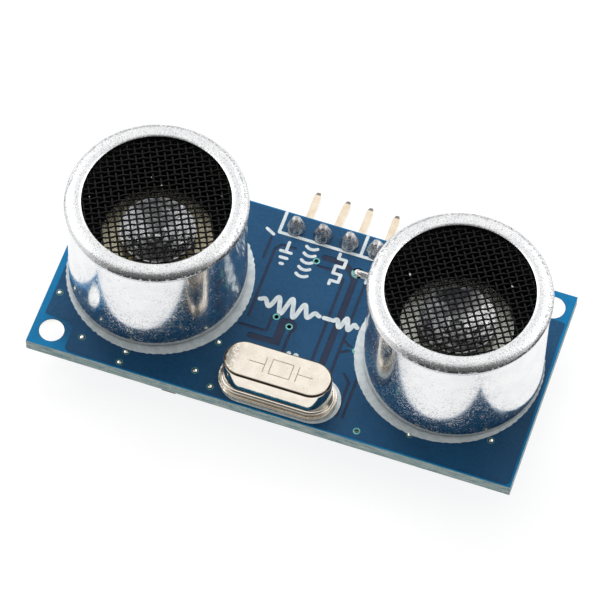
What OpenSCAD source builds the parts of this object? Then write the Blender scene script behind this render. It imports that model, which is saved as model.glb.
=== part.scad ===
// Ultrasonic distance sensor module: two 16 mm open-type transducers, a quartz crystal
// and a right-angle pin header on a small printed circuit board.
// Frame: millimetres, +Z up through the transducers, +X along the board with the
// transmitter on the +X side, +Y towards the header pins. The origin is the centre of the
// mounting-hole pattern on the board's back face.

/* [Board] */
// Length of the board along X
board_l = 45; // [44:0.1:48]
// Width of the board along Y
board_w = 20.5; // [20.3:0.1:22]
// Thickness of the laminate
board_t = 1.3; // [1.0:0.1:1.6]
// Diameter of the two mounting holes
mount_hole_d = 2.25; // [2.0:0.05:2.6]
// Distance from a mounting hole's centre to the short edge
mount_inset_x = 1.8; // [1.6:0.05:2.0]
// Distance from a mounting hole's centre to the long edge
mount_inset_y = 1.75; // [1.6:0.05:1.9]
// Diameter of a via's open bore
via_bore_d = 0.4; // [0.3:0.05:0.5]
// Diameter of a via's annular ring
via_ring_d = 0.66; // [0.6:0.02:0.8]

/* [Transducers] */
// Distance between the two cans' axes
can_spacing = 27.8; // [27.4:0.1:28]
// Offset of the cans' axes from the board's centre line
can_y = 0.6; // [0:0.1:1]
// Outer diameter of a can's side wall
can_d = 16; // [15.8:0.05:16.1]
// Outer diameter of a can's front rim
rim_d = 16.24; // [16.14:0.02:16.4]
// Diameter of the opening in a can's front
mouth_d = 13.2; // [12.8:0.1:13.4]
// Height of a can from crimp to rim
can_h = 11.55; // [11:0.05:12]
// Gap between the board and the bottom of a can
can_gap = 0.2; // [0.1:0.05:0.4]
// Thickness of a can's side wall
can_wall = 0.35; // [0.3:0.05:0.4]
// Height of the vibrating plate's front face above the can's bottom
plate_z = 5.4; // [5.2:0.1:6]
// Diameter of the vibrating plate
plate_d = 10; // [9.6:0.1:10.4]
// Diameter of the cone's rim
cone_d = 6.8; // [6:0.1:7.2]
// Distance between the two terminals of a transducer
terminal_pitch = 10; // [9.8:0.1:10.2]

/* [Grille] */
// Distance between the wires that run along the warp
warp_pitch = 0.517; // [0.51:0.001:0.6]
// Distance between the wires that run along the weft
weft_pitch = 0.641; // [0.63:0.001:0.7]
// Diameter of a grille wire
grille_wire = 0.13; // [0.1:0.01:0.16]
// Direction of the receiver's warp wires
receiver_warp_angle = 26.6; // [0:0.1:90]
// Direction of the transmitter's warp wires
transmitter_warp_angle = 31.2; // [0:0.1:90]

/* [Crystal] */
// Height of the crystal can's top above the board
crystal_top = 3.5; // [3.3:0.1:4]
// Width of the crystal can
crystal_w = 3.7; // [3.6:0.1:3.9]
// Width of the crystal's flange
crystal_flange_w = 4.65; // [4.5:0.05:4.8]
// Length of the straight part of the crystal's sides
crystal_straight = 6.2; // [6:0.1:6.4]
// Position of the crystal's centre along Y
crystal_y = -7.5; // [-7.6:0.1:-7.2]

/* [Header] */
// Distance between neighbouring header pins
pin_pitch = 2.54; // [2.5:0.01:2.56]
// Side of a header pin's square section
pin_side = 0.64; // [0.6:0.01:0.66]
// Position of the first pin along X
first_pin_x = -3.65; // [-3.7:0.05:-3.6]
// Distance from the pins' holes to the board's edge
pin_row_inset = 1.4; // [1.35:0.05:1.5]
// Height of a pin's front end above the board's front face
pin_stub = 1.5; // [1.3:0.1:1.8]
// Distance from the board's back face down to the pins' horizontal axis
pin_drop = 3.1; // [3.1:0.05:3.4]
// Position of the pins' tips along Y
pin_tip_y = 15.7; // [14:0.1:18]
// Sideways offset of the tip of the second pin, which is bent
bent_tip_shift = 0.35; // [0:0.05:0.5]

/* [Hidden] */

$fn = 64;
cut = 0.1;

// Mounting holes: one diagonal pair
mount_x = board_l / 2 - mount_inset_x;
mount_y = board_w / 2 - mount_inset_y;
mount_holes = [[-mount_x, -mount_y], [mount_x, mount_y]];

// Vias, and the larger hole that the ground wire is soldered in
vias = [[-2.3, -0.6], [-0.9, -1.2], [5.5, -1.6], [8.1, -9.3], [-6.3, -4.8], [-7.3, -8.2],
  [-5.5, -9.3], [-21.4, -4.6], [-17.9, -8.3], [-13.7, -8.4], [-13.9, -9.6], [12.6, -8.1],
  [19.5, -6.3], [-0.8, 6.1]];
via_wall = 0.05;
copper_t = 0.035;
wire_hole = [3.1, 6.1];
wire_hole_d = 0.6;
ground_wire_d = 0.4;
ground_wire_z = board_t + 0.3;
ground_wire_tail = 0.5;
ground_wire_bend = 0.3;

// Transducers
receiver_x = -can_spacing / 2;
transmitter_x = can_spacing / 2;
transducer_z = board_t + can_gap;
can_r = can_d / 2;
rim_r = rim_d / 2;
bore_r = can_r - can_wall;
rim_round = 0.6;
rim_blend = 1.6;
lip_t = 0.35;
crimp_t = 0.3;
crimp_w = 0.9;
crimp_round = 0.35;
insert_r = bore_r - 0.05;
grille_t = 2 * grille_wire;
grille_z = can_h - lip_t - grille_t;
grille_border = 0.5;
liner_wall = 0.5;
liner_top = grille_z - 0.04;
base_top = 2.3;
boss_r = 4.4;
boss_wall = 0.8;
boss_top = 4.4;
boss_notch_w = 1;
boss_notch_z = 2.8;
plate_t = 0.2;
piezo_r = 3.4;
piezo_t = 0.35;
ring_outer_r = boss_r - 0.05;
ring_inner_r = boss_r - boss_wall + 0.05;
cone_h = 1.1;
cone_t = 0.15;
hub_r = 0.45;
hub_t = 0.3;
terminal_d = 1;
terminal_top = 3;
terminal_tail = 0.9;
terminal_hole_d = 1.3;
lead_wire_d = 0.25;

// Crystal
crystal_x = 0.15;
crystal_gap = 0.1;
crystal_base_t = 0.35;
crystal_pedestal_h = 0.35;
crystal_wall = 0.2;
crystal_flange_t = 0.25;
crystal_round = 0.45;
crystal_flare = 0.3;
crystal_lead_pitch = 4.88;
crystal_lead_d = 0.43;
crystal_hole_d = 0.8;
crystal_lead_tail = 0.9;
seal_r = 0.7;
blank = [7.6, 1.8, 0.3];
blank_z = 2;

// Header
pin_count = 4;
pin_y = board_w / 2 - pin_row_inset;
pin_hole_d = 1;
pin_bend_r = 0.22;
pin_taper = 0.5;
pin_tip_side = 0.3;
header_side = 2.54;
header_chamfer = 0.35;
cone_solder_r = 0.88;
cone_solder_h = 1;

// Surface-mounted parts on the back: [x, y, turn]
microcontroller_at = [0, 0.2];
amplifier_at = [receiver_x, can_y];
driver_at = [transmitter_x, can_y];
transistor_at = [-9.25, -8.35];
resistors = [[-7.9, -2, 0], [-7.9, -0.6, 0], [-7.9, 0.8, 0], [-7.9, 2.2, 0], [-7.9, 3.6, 0],
  [-7.9, 5, 0], [-5.7, -6.8, 90], [6.9, -0.6, 0], [6.9, 0.8, 0], [6.9, 2.2, 0], [6.9, 3.6, 0],
  [9.8, -6.6, 90]];
capacitors = [[-5.7, 0.6, 90], [-5.7, 3.2, 90], [-18.6, -5.6, 0], [-18.6, 5.8, 0],
  [-10.6, 6.6, 90], [10.4, 6.4, 90], [17.6, 6.4, 0], [-2.3, -5.2, 0], [2.6, -5.2, 0],
  [17.4, -6, 0]];
soic_pitch = 1.27;
soic_w = 3.9;
soic_span = 6;
soic_standoff = 0.15;
soic_h = 1.6;
lead_t = 0.2;
lead_w = 0.42;
sot_pitch = 1.9;
sot_l = 2.9;
sot_w = 1.3;
sot_span = 2.4;
sot_h = 1;
sot_lead_t = 0.12;
chip_l = 1.6;
chip_w = 0.8;
chip_cap = 0.3;
resistor_h = 0.45;
capacitor_h = 0.8;

// Half-length of a level line across a circle of radius r, at distance d from its centre
function chord(r, d) = sqrt(r * r - d * d);

// Points of an arc about [cx, cy], from angle a0 to a1 in n steps
function arc(cx, cy, r, a0, a1, n) =
  [for (i = [0:n]) let (a = a0 + (a1 - a0) * i / n) [cx + r * cos(a), cy + r * sin(a)]];

// A round bar from point a to point b
module bar(a, b, d) {
  v = b - a;
  length = norm(v);
  translate(a)
    rotate([0, acos(v[2] / length), atan2(v[1], v[0])])
      cylinder(h = length, d = d, $fn = 24);
}

// A stadium-shaped solid: the profile [distance from spine, z] swept round a straight spine
module stadium_sweep(profile, straight) {
  for (side = [-1, 1])
    translate([side * straight / 2, 0, 0])
      rotate([0, 0, side > 0 ? -90 : 90])
        rotate_extrude(angle = 180) polygon(profile);
  for (side = [0, 1])
    mirror([0, side, 0])
      rotate([90, 0, 90])
        linear_extrude(height = straight, center = true) polygon(profile);
}

// A solid ring of revolution between two radii
module tube(outer_r, inner_r, z0, z1) {
  translate([0, 0, z0])
    difference() {
      cylinder(h = z1 - z0, r = outer_r);
      translate([0, 0, -cut]) cylinder(h = z1 - z0 + 2 * cut, r = inner_r);
    }
}

// Places children on both terminals of the transducer at the origin
module at_terminals() {
  for (side = [-1, 1])
    translate([0, side * terminal_pitch / 2, 0]) children();
}

// Places children on both leads of the crystal
module at_crystal_leads() {
  for (side = [-1, 1])
    translate([crystal_x + side * crystal_lead_pitch / 2, crystal_y, 0]) children();
}

// Places children on every header pin's hole
module at_pins() {
  for (i = [0:pin_count - 1])
    translate([first_pin_x + i * pin_pitch, pin_y, 0]) children();
}

// Places children on the back of the board, facing away from it
module on_back(at, turn = 0) {
  translate([at[0], at[1], 0]) rotate([180, 0, turn]) children();
}

// Places a transducer's pieces on the receiver's or the transmitter's axis
module at_transducer(x) {
  translate([x, can_y, transducer_z]) children();
}

// ---- Board ----

module pcb() {
  color([0.10, 0.32, 0.50])
    difference() {
      linear_extrude(height = board_t)
        square([board_l, board_w], center = true);
      for (hole = mount_holes)
        drill(hole, mount_hole_d);
      for (via = vias)
        drill(via, via_bore_d + 2 * via_wall);
      drill(wire_hole, wire_hole_d);
      for (x = [receiver_x, transmitter_x])
        translate([x, can_y, 0]) at_terminals() drill([0, 0], terminal_hole_d);
      at_crystal_leads() drill([0, 0], crystal_hole_d);
      at_pins() drill([0, 0], pin_hole_d);
    }
}

module drill(at, d) {
  translate([at[0], at[1], -cut]) cylinder(h = board_t + 2 * cut, d = d);
}

module via_platings() {
  barrel_r = via_bore_d / 2 + via_wall;
  profile = [[via_bore_d / 2, -copper_t], [via_ring_d / 2, -copper_t], [via_ring_d / 2, 0],
    [barrel_r, 0], [barrel_r, board_t], [via_ring_d / 2, board_t],
    [via_ring_d / 2, board_t + copper_t], [via_bore_d / 2, board_t + copper_t]];
  color([0.45, 0.75, 0.75])
    for (via = vias)
      translate([via[0], via[1], 0]) rotate_extrude() polygon(profile);
}

// Bare wire from the board to the side of the transmitter's can, with one bend
module ground_wire() {
  can_side_x = transmitter_x - chord(can_r + 0.02, wire_hole[1] - can_y);
  bend_x = wire_hole[0] + ground_wire_bend;
  bend_z = ground_wire_z - ground_wire_bend;
  y = wire_hole[1];
  color([0.80, 0.78, 0.72]) {
    bar([wire_hole[0], y, -ground_wire_tail], [wire_hole[0], y, bend_z], ground_wire_d);
    bar([bend_x, y, ground_wire_z], [can_side_x - ground_wire_d / 4, y, ground_wire_z], ground_wire_d);
    translate([bend_x, y, bend_z])
      rotate([90, 0, 0])
        rotate([0, 0, 90])
          rotate_extrude(angle = 90)
            translate([ground_wire_bend, 0]) circle(d = ground_wire_d, $fn = 24);
  }
}

// ---- Transducer pieces, each on its own axis with z = 0 at the can's bottom ----

module can() {
  lip_z = can_h - lip_t;
  profile = concat([[bore_r - crimp_w, 0]],
    arc(can_r - crimp_round, crimp_round, crimp_round, 270, 360, 4),
    [[can_r, can_h - rim_blend]],
    arc(rim_r - rim_round, can_h - rim_round, rim_round, 0, 90, 6),
    [[mouth_d / 2 + 0.1, can_h], [mouth_d / 2, can_h - 0.1], [mouth_d / 2, lip_z], [bore_r, lip_z],
      [bore_r, crimp_t], [bore_r - crimp_w, crimp_t]]);
  color([0.86, 0.87, 0.88]) rotate_extrude($fn = 96) polygon(profile);
}

// Open mesh disc; the warp wires run along X before it is turned
module grille(angle) {
  open_r = insert_r - grille_border;
  gap = [weft_pitch - grille_wire, warp_pitch - grille_wire];
  columns = floor(open_r / weft_pitch);
  rows = floor(open_r / warp_pitch);
  color([0.06, 0.06, 0.07])
    translate([0, 0, grille_z])
      rotate([0, 0, angle])
        linear_extrude(height = grille_t)
          difference() {
            circle(r = insert_r, $fn = 96);
            for (i = [-columns:columns], j = [-rows:rows])
              if (norm([(abs(i) + 0.5) * weft_pitch, (abs(j) + 0.5) * warp_pitch]) < open_r)
                translate([i * weft_pitch, j * warp_pitch]) square(gap, center = true);
          }
}

module liner() {
  color([0.05, 0.05, 0.05]) tube(insert_r, insert_r - liner_wall, base_top, liner_top);
}

module base() {
  boss_inner_r = boss_r - boss_wall;
  profile = [[0, crimp_t], [insert_r, crimp_t], [insert_r, base_top], [boss_r, base_top],
    [boss_r, boss_top], [boss_inner_r, boss_top], [boss_inner_r, base_top], [0, base_top]];
  color([0.07, 0.07, 0.08])
    difference() {
      rotate_extrude() polygon(profile);
      at_terminals() cylinder(h = 2 * base_top, d = terminal_d, center = true);
      translate([-boss_notch_w / 2, -boss_r - cut, boss_notch_z])
        cube([boss_notch_w, boss_r, boss_top]);
    }
}

module damping_ring() {
  color([0.85, 0.85, 0.82]) tube(ring_outer_r, ring_inner_r, boss_top, plate_z - plate_t);
}

module piezo_disc() {
  color([0.72, 0.70, 0.62])
    translate([0, 0, plate_z - plate_t - piezo_t]) cylinder(h = piezo_t, r = piezo_r);
}

module bender_plate() {
  color([0.70, 0.66, 0.50])
    translate([0, 0, plate_z - plate_t]) cylinder(h = plate_t, d = plate_d);
}

module cone() {
  rim_r = cone_d / 2;
  foot = plate_z;
  profile = [[0, foot], [hub_r, foot], [rim_r, foot + cone_h - cone_t], [rim_r, foot + cone_h],
    [rim_r - cone_t, foot + cone_h], [hub_r + cone_t, foot + cone_t], [hub_r, foot + hub_t],
    [0, foot + hub_t]];
  color([0.82, 0.83, 0.84]) rotate_extrude() polygon(profile);
}

module terminals() {
  tail = can_gap + board_t + terminal_tail;
  color([0.78, 0.76, 0.70])
    at_terminals() translate([0, 0, -tail]) cylinder(h = tail + terminal_top, d = terminal_d);
}

// An upright wire to the plate's rim, and a slanted one through the boss's notch to the piezo disc
module lead_wires() {
  y = terminal_pitch / 2 - 0.3;
  plate_back = plate_z - plate_t;
  piezo_back = plate_back - piezo_t;
  slant = [0, 2.1, piezo_back - terminal_top];
  start = [0, -y, terminal_top];
  color([0.80, 0.20, 0.15]) bar([0, y, terminal_top], [0, y, plate_back], lead_wire_d);
  color([0.80, 0.20, 0.15])
    intersection() {
      bar(start - slant, start + 2 * slant, lead_wire_d);
      translate([-1, -2 * y, terminal_top]) cube([2, 2 * y, piezo_back - terminal_top]);
    }
}

// ---- Receiver ----

module receiver_can() at_transducer(receiver_x) can();
module receiver_grille() at_transducer(receiver_x) grille(receiver_warp_angle);
module receiver_liner() at_transducer(receiver_x) liner();
module receiver_base() at_transducer(receiver_x) base();
module receiver_damping_ring() at_transducer(receiver_x) damping_ring();
module receiver_piezo_disc() at_transducer(receiver_x) piezo_disc();
module receiver_bender_plate() at_transducer(receiver_x) bender_plate();
module receiver_cone() at_transducer(receiver_x) cone();
module receiver_terminals() at_transducer(receiver_x) terminals();
module receiver_lead_wires() at_transducer(receiver_x) lead_wires();

// ---- Transmitter ----

module transmitter_can() at_transducer(transmitter_x) can();
module transmitter_grille() at_transducer(transmitter_x) grille(transmitter_warp_angle);
module transmitter_liner() at_transducer(transmitter_x) liner();
module transmitter_base() at_transducer(transmitter_x) base();
module transmitter_damping_ring() at_transducer(transmitter_x) damping_ring();
module transmitter_piezo_disc() at_transducer(transmitter_x) piezo_disc();
module transmitter_bender_plate() at_transducer(transmitter_x) bender_plate();
module transmitter_cone() at_transducer(transmitter_x) cone();
module transmitter_terminals() at_transducer(transmitter_x) terminals();
module transmitter_lead_wires() at_transducer(transmitter_x) lead_wires();

// ---- Solder: a fillet under the board and a fill in the plated hole ----

module lead_fillet(lead_r, hole_r, fillet_r, fillet_h, fill_top = board_t) {
  profile = [[lead_r, fill_top], [hole_r, fill_top], [hole_r, 0], [fillet_r, 0],
    [fillet_r * 0.7, -fillet_h * 0.25], [lead_r + 0.12, -fillet_h], [lead_r, -fillet_h]];
  rotate_extrude() polygon(profile);
}

module transducer_solder() {
  color([0.75, 0.76, 0.77])
    for (x = [receiver_x, transmitter_x])
      translate([x, can_y, 0])
        at_terminals() lead_fillet(terminal_d / 2, terminal_hole_d / 2, 1.25, 0.75);
}

module crystal_solder() {
  color([0.75, 0.76, 0.77])
    at_crystal_leads() lead_fillet(crystal_lead_d / 2, crystal_hole_d / 2, 0.8, 0.7);
}

module ground_wire_solder() {
  color([0.75, 0.76, 0.77])
    translate([wire_hole[0], wire_hole[1], 0])
      lead_fillet(ground_wire_d / 2, wire_hole_d / 2, 0.55, 0.35, board_t / 2);
}

// Cones on the front of the board round the square pins
module header_solder() {
  hole_r = pin_hole_d / 2;
  top = board_t + cone_solder_h;
  profile = [[0, 0], [hole_r, 0], [hole_r, board_t], [cone_solder_r, board_t],
    [cone_solder_r * 0.93, board_t + cone_solder_h * 0.25],
    [cone_solder_r * 0.72, board_t + cone_solder_h * 0.6], [hole_r, top], [0, top]];
  color([0.72, 0.72, 0.73])
    at_pins()
      difference() {
        rotate_extrude() polygon(profile);
        cube([pin_side, pin_side, 4 * board_t + 4 * cone_solder_h], center = true);
      }
}

// ---- Crystal ----

module at_crystal() {
  translate([crystal_x, crystal_y, board_t]) children();
}

module crystal_can() {
  r = crystal_w / 2;
  seat = crystal_gap + crystal_base_t;
  flange_top = seat + crystal_flange_t;
  ceiling = crystal_top - crystal_wall;
  profile = concat([[r - crystal_wall, seat], [crystal_flange_w / 2 - 0.1, seat],
      [crystal_flange_w / 2 - 0.1, flange_top]],
    arc(r + crystal_flare, flange_top + crystal_flare, crystal_flare, 270, 180, 4),
    arc(r - crystal_round, crystal_top - crystal_round, crystal_round, 0, 90, 5),
    [[0, crystal_top], [0, ceiling], [r - crystal_wall, ceiling]]);
  color([0.80, 0.76, 0.70]) at_crystal() stadium_sweep(profile, crystal_straight);
}

module crystal_base() {
  pedestal_r = crystal_w / 2 - crystal_wall - 0.05;
  seat = crystal_gap + crystal_base_t;
  profile = [[0, crystal_gap], [crystal_flange_w / 2 - 0.1, crystal_gap],
    [crystal_flange_w / 2, crystal_gap + 0.1], [crystal_flange_w / 2, seat], [pedestal_r, seat],
    [pedestal_r, seat + crystal_pedestal_h], [0, seat + crystal_pedestal_h]];
  color([0.72, 0.68, 0.62])
    difference() {
      at_crystal() stadium_sweep(profile, crystal_straight);
      at_crystal_leads() cylinder(h = board_t + crystal_top, r = seal_r);
    }
}

module crystal_seals() {
  seat = board_t + crystal_gap;
  color([0.25, 0.35, 0.35])
    at_crystal_leads()
      tube(seal_r, crystal_lead_d / 2, seat, seat + crystal_base_t + crystal_pedestal_h);
}

module crystal_leads() {
  top = board_t + crystal_gap + crystal_base_t + crystal_pedestal_h + 0.3;
  color([0.75, 0.74, 0.70])
    at_crystal_leads()
      translate([0, 0, -crystal_lead_tail]) cylinder(h = top + crystal_lead_tail, d = crystal_lead_d);
}

module crystal_quartz_blank() {
  color([0.85, 0.88, 0.90])
    at_crystal() translate([0, 0, blank_z + blank[2] / 2]) cube(blank, center = true);
}

// Spring strips from the leads' heads out to the ends of the quartz blank
module crystal_clips() {
  strip_t = 0.12;
  strip_w = 1.2;
  lead_top = crystal_gap + crystal_base_t + crystal_pedestal_h + 0.3;
  lead_x = crystal_lead_pitch / 2;
  end_x = blank[0] / 2;
  side = [[lead_x - 0.3, lead_top], [end_x + 0.15, lead_top], [end_x + 0.15, blank_z + blank[2]],
    [end_x, blank_z + blank[2]], [end_x, blank_z], [end_x - 0.8, blank_z],
    [end_x - 0.8, blank_z - strip_t], [end_x, blank_z - strip_t],
    [end_x, lead_top + strip_t], [lead_x - 0.3, lead_top + strip_t]];
  color([0.80, 0.79, 0.75])
    at_crystal()
      for (flip = [0, 1])
        mirror([flip, 0, 0])
          rotate([90, 0, 0])
            linear_extrude(height = strip_w, center = true) polygon(side);
}

// ---- Header ----

module header_body() {
  h = header_side / 2;
  c = header_chamfer;
  cell = [[-h, c - h], [c - h, -h], [h - c, -h], [h, c - h],
    [h, h - c], [h - c, h], [c - h, h], [-h, h - c]];
  color([0.06, 0.06, 0.07])
    at_pins()
      difference() {
        translate([0, 0, -header_side]) linear_extrude(height = header_side) polygon(cell);
        cube([pin_side, pin_side, 3 * header_side], center = true);
      }
}

// A right-angle pin: the side view and the plan view of the bent bar, intersected
module header_pin(index, tip_shift = 0) {
  s = pin_side / 2;
  tip = pin_tip_side / 2;
  top = board_t + pin_stub;
  reach = pin_tip_y - pin_y;
  straight = reach - pin_taper;
  side = concat([[-s, top - 0.1], [0.1 - s, top], [s - 0.1, top], [s, top - 0.1]],
    arc(s + pin_bend_r, s + pin_bend_r - pin_drop, pin_bend_r, 180, 270, 4),
    [[straight, s - pin_drop], [reach, tip - pin_drop], [reach, -tip - pin_drop],
      [straight, -s - pin_drop]],
    arc(s + pin_bend_r, s + pin_bend_r - pin_drop, pin_bend_r + pin_side, 270, 180, 6));
  drift = tip_shift * straight / reach;
  plan = [[-s, -s - cut], [s, -s - cut], [s, s], [s + drift, straight], [tip + tip_shift, reach],
    [tip_shift - tip, reach], [drift - s, straight], [-s, s]];
  color([0.88, 0.78, 0.55])
    translate([first_pin_x + index * pin_pitch, pin_y, 0])
      intersection() {
        rotate([90, 0, 90]) linear_extrude(height = 4 * pin_pitch, center = true) polygon(side);
        linear_extrude(height = 6 * pin_drop, center = true) polygon(plan);
      }
}

module ground_pin() header_pin(0);
module echo_pin() header_pin(1, bent_tip_shift);
module trigger_pin() header_pin(2);
module supply_pin() header_pin(3);

// ---- Surface-mounted parts, each drawn standing on z = 0 ----

module soic_body(pins) {
  l = pins / 2 * soic_pitch - 0.24;
  h = soic_w / 2;
  bevel = 0.35;
  side = [[-h, soic_standoff], [h, soic_standoff], [h, soic_h - bevel], [h - bevel, soic_h], [-h, soic_h]];
  color([0.09, 0.09, 0.10])
    difference() {
      rotate([90, 0, 90]) linear_extrude(height = l, center = true) polygon(side);
      translate([0.9 - l / 2, -h + 0.9, soic_h - 0.1]) cylinder(h = 1, d = 0.9, $fn = 32);
    }
}

module soic_leads(pins) {
  gull_wing(pins / 2, soic_pitch, soic_w / 2, soic_span / 2, 0.95, lead_t, 0.5, [0, 1]);
}

// Rows of gull-wing leads from a body wall at y = inner to feet that end at y = outer
module gull_wing(count, pitch, inner, outer, shoulder, t, foot, sides) {
  knee = inner + (outer - foot - inner) * 0.3;
  side = [[inner, shoulder], [knee, shoulder], [outer - foot - t / 2, 0], [outer, 0],
    [outer, t], [outer - foot, t], [knee + t / 2, shoulder + t], [inner, shoulder + t]];
  color([0.76, 0.77, 0.78])
    for (flip = sides)
      mirror([0, flip, 0])
        for (i = [0:count - 1])
          translate([(i - (count - 1) / 2) * pitch, 0, 0])
            rotate([90, 0, 90]) linear_extrude(height = lead_w, center = true) polygon(side);
}

module chip_body(h) {
  translate([0, 0, h / 2]) cube([chip_l - 2 * chip_cap, chip_w, h], center = true);
}

module chip_end_caps(h) {
  for (end = [-1, 1])
    translate([end * (chip_l - chip_cap) / 2, 0, h / 2]) cube([chip_cap, chip_w, h], center = true);
}

module microcontroller_body() on_back(microcontroller_at) soic_body(14);
module microcontroller_leads() on_back(microcontroller_at) soic_leads(14);
module amplifier_body() on_back(amplifier_at) soic_body(14);
module amplifier_leads() on_back(amplifier_at) soic_leads(14);
module driver_body() on_back(driver_at) soic_body(16);
module driver_leads() on_back(driver_at) soic_leads(16);

module transistor_body() {
  color([0.08, 0.08, 0.09])
    on_back(transistor_at, 90) translate([0, 0, sot_h - 0.45]) cube([sot_l, sot_w, 0.9], center = true);
}

module transistor_leads() {
  on_back(transistor_at, 90) {
    gull_wing(2, sot_pitch, sot_w / 2, sot_span / 2, 0.45, sot_lead_t, 0.25, [0]);
    gull_wing(1, sot_pitch, sot_w / 2, sot_span / 2, 0.45, sot_lead_t, 0.25, [1]);
  }
}

module resistor_bodies() {
  color([0.12, 0.12, 0.13])
    for (part = resistors)
      on_back(part, part[2]) chip_body(resistor_h);
}

module resistor_end_caps() {
  color([0.78, 0.79, 0.80])
    for (part = resistors)
      on_back(part, part[2]) chip_end_caps(resistor_h);
}

module capacitor_bodies() {
  color([0.62, 0.50, 0.36])
    for (part = capacitors)
      on_back(part, part[2]) chip_body(capacitor_h);
}

module capacitor_end_caps() {
  color([0.78, 0.79, 0.80])
    for (part = capacitors)
      on_back(part, part[2]) chip_end_caps(capacitor_h);
}

pcb();
via_platings();
ground_wire();
ground_wire_solder();
receiver_can();
receiver_grille();
receiver_liner();
receiver_base();
receiver_damping_ring();
receiver_piezo_disc();
receiver_bender_plate();
receiver_cone();
receiver_terminals();
receiver_lead_wires();
transmitter_can();
transmitter_grille();
transmitter_liner();
transmitter_base();
transmitter_damping_ring();
transmitter_piezo_disc();
transmitter_bender_plate();
transmitter_cone();
transmitter_terminals();
transmitter_lead_wires();
transducer_solder();
crystal_can();
crystal_base();
crystal_seals();
crystal_leads();
crystal_quartz_blank();
crystal_clips();
crystal_solder();
header_body();
ground_pin();
echo_pin();
trigger_pin();
supply_pin();
header_solder();
microcontroller_body();
microcontroller_leads();
amplifier_body();
amplifier_leads();
driver_body();
driver_leads();
transistor_body();
transistor_leads();
resistor_bodies();
resistor_end_caps();
capacitor_bodies();
capacitor_end_caps();
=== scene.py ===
# Ultrasonic distance sensor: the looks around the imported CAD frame.
# Shapes are drawn in millimetres, in the CAD frame, and turned into metres when they are built.
import random
from math import copysign, cos, dist, hypot, pi, radians, sin, sqrt

import bmesh
import bpy
from mathutils import Matrix, Vector, geometry


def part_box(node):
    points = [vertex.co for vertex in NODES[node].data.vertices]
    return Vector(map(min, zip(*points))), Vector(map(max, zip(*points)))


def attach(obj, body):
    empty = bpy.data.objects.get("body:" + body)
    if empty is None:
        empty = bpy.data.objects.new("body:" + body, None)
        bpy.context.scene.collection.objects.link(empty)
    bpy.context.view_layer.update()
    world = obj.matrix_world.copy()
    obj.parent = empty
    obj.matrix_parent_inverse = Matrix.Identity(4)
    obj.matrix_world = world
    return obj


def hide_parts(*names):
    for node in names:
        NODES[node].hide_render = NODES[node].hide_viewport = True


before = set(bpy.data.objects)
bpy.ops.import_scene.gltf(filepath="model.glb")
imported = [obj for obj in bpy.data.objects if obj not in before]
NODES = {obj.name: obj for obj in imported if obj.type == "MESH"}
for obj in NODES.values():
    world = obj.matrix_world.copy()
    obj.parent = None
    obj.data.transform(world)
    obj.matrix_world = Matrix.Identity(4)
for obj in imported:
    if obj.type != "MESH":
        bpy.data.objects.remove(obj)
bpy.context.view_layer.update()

MM = 0.001
WELD = 0.0004  # corners nearer than this become one, in millimetres


def box(node):
    """Lowest and highest corner of a CAD node, in millimetres."""
    low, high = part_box(node)
    return low / MM, high / MM


def centre(node):
    low, high = box(node)
    return (low + high) / 2


def halfway(low, high):
    return [(a + b) / 2 for a, b in zip(low, high)]


# ---- Places and sizes, from the frame ----

BOARD_LOW, BOARD_HIGH = box("pcb")
TOP = BOARD_HIGH.z
BACK = BOARD_LOW.z
COPPER = box("via_platings")[1].z - TOP
CAN_LOW, CAN_HIGH = box("receiver_can")
CAN_Z = CAN_LOW.z
CAN_H = CAN_HIGH.z - CAN_Z
RIM_R = (CAN_HIGH.x - CAN_LOW.x) / 2
CANS = {side: centre(side + "_can") for side in ("receiver", "transmitter")}
GRILLE_LOW, GRILLE_HIGH = box("receiver_grille")
GRILLE_MID = (GRILLE_LOW.z + GRILLE_HIGH.z) / 2
GRILLE_R = (GRILLE_HIGH.x - GRILLE_LOW.x) / 2
WIRE_R = (GRILLE_HIGH.z - GRILLE_LOW.z) / 4
MESH_WIRE_R = WIRE_R * 1.45  # thicker than in the CAD grille, for a mesh as dark as the photo's
CONE_LOW, CONE_HIGH = box("receiver_cone")
PINS = ["ground_pin", "echo_pin", "trigger_pin", "supply_pin"]
PIN_LOW, PIN_HIGH = box("ground_pin")
PIN_WIDTH = 0.64
PIN_PITCH = 2.54
PIN_Y = PIN_LOW.y + PIN_WIDTH / 2
CRYSTAL_LOW, CRYSTAL_HIGH = box("crystal_can")
CRYSTAL = centre("crystal_base")
CRYSTAL_STRAIGHT = 6.2

CAN_R = 8.0
MOUTH_R = 6.6
LIP_T = 0.35
WARP_PITCH = 0.517
WEFT_PITCH = 0.641
WARP_ANGLE = {"receiver": 26.6, "transmitter": 31.2}
MOUNT_HOLE_R = 1.125
MOUNT_HOLES = [(-20.7, -8.5), (20.7, 8.5)]
WIRE_HOLE = (3.1, 6.1)
WIRE_HOLE_R = 0.3
OPEN_VIAS = [(-2.3, -0.6), (-0.9, -1.2), (-0.8, 6.1)]
HALF_VIAS = [(5.5, -1.6), (8.1, -9.3)]
FILLED_VIAS = [(-6.3, -4.8), (-7.3, -8.2), (-5.5, -9.3), (-21.4, -4.6), (-17.9, -8.3), (-13.7, -8.4),
               (-13.9, -9.6), (12.6, -8.1), (19.5, -6.3)]
VIA_BORE_R = 0.2
VIA_RING_R = 0.33


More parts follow.
